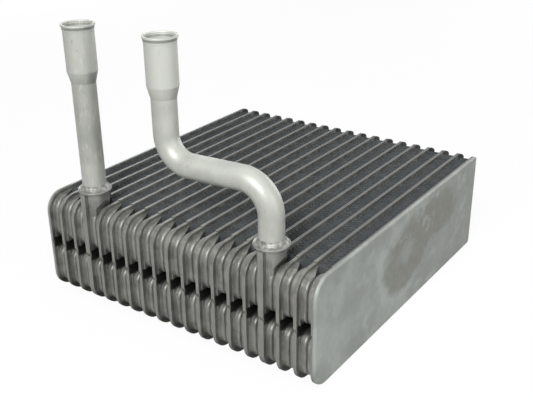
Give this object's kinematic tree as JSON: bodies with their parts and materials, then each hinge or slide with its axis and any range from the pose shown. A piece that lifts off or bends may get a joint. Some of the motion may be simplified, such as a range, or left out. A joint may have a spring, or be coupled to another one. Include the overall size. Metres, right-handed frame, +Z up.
{
  "type": "evaporator core",
  "caption": "Laminated evaporator core: stamped plate pairs with drawn tank cups, corrugated fins, flat end plates, and two upright tubes with flared sockets.",
  "frame": {"origin": "centre of the bounding box at its bottom", "axes": "+X along the stack from the straight tube's end to the bent tube's end, +Y from the tank cups to the back, +Z up along the tubes, which is the air-flow direction"},
  "size_m": [0.2218, 0.232, 0.196],
  "materials": {
    "plate": "satin",
    "fin": "satin",
    "end_plate": "satin",
    "tube": "matte",
    "braze": "satin"
  },
  "bodies": {
    "root": {"end_plate_left": "end_plate", "end_plate_right": "end_plate", "plate_00_right": "plate", "plate_01_left": "plate", "plate_01_right": "plate", "plate_02_left": "plate", "plate_02_right": "plate", "plate_03_left": "plate", "plate_03_right": "plate", "plate_04_left": "plate", "plate_04_right": "plate", "plate_05_left": "plate", "plate_05_right": "plate", "plate_06_left": "plate", "plate_06_right": "plate", "plate_07_left": "plate", "plate_07_right": "plate", "plate_08_left": "plate", "plate_08_right": "plate", "plate_09_left": "plate", "plate_09_right": "plate", "plate_10_left": "plate", "plate_10_right": "plate", "plate_11_left": "plate", "plate_11_right": "plate", "plate_12_left": "plate", "plate_12_right": "plate", "plate_13_left": "plate", "plate_13_right": "plate", "plate_14_left": "plate", "plate_14_right": "plate", "plate_15_left": "plate", "plate_15_right": "plate", "plate_16_left": "plate", "plate_16_right": "plate", "plate_17_left": "plate", "plate_17_right": "plate", "plate_18_left": "plate", "fin_01": "fin", "fin_02": "fin", "fin_03": "fin", "fin_04": "fin", "fin_05": "fin", "fin_06": "fin", "fin_07": "fin", "fin_08": "fin", "fin_09": "fin", "fin_10": "fin", "fin_11": "fin", "fin_12": "fin", "fin_13": "fin", "fin_14": "fin", "fin_15": "fin", "fin_16": "fin", "fin_17": "fin", "fin_18": "fin", "straight_tube": "tube", "bent_tube": "tube", "straight_tube_braze": "braze", "bent_tube_braze": "braze"}
  },
  "joints": []
}
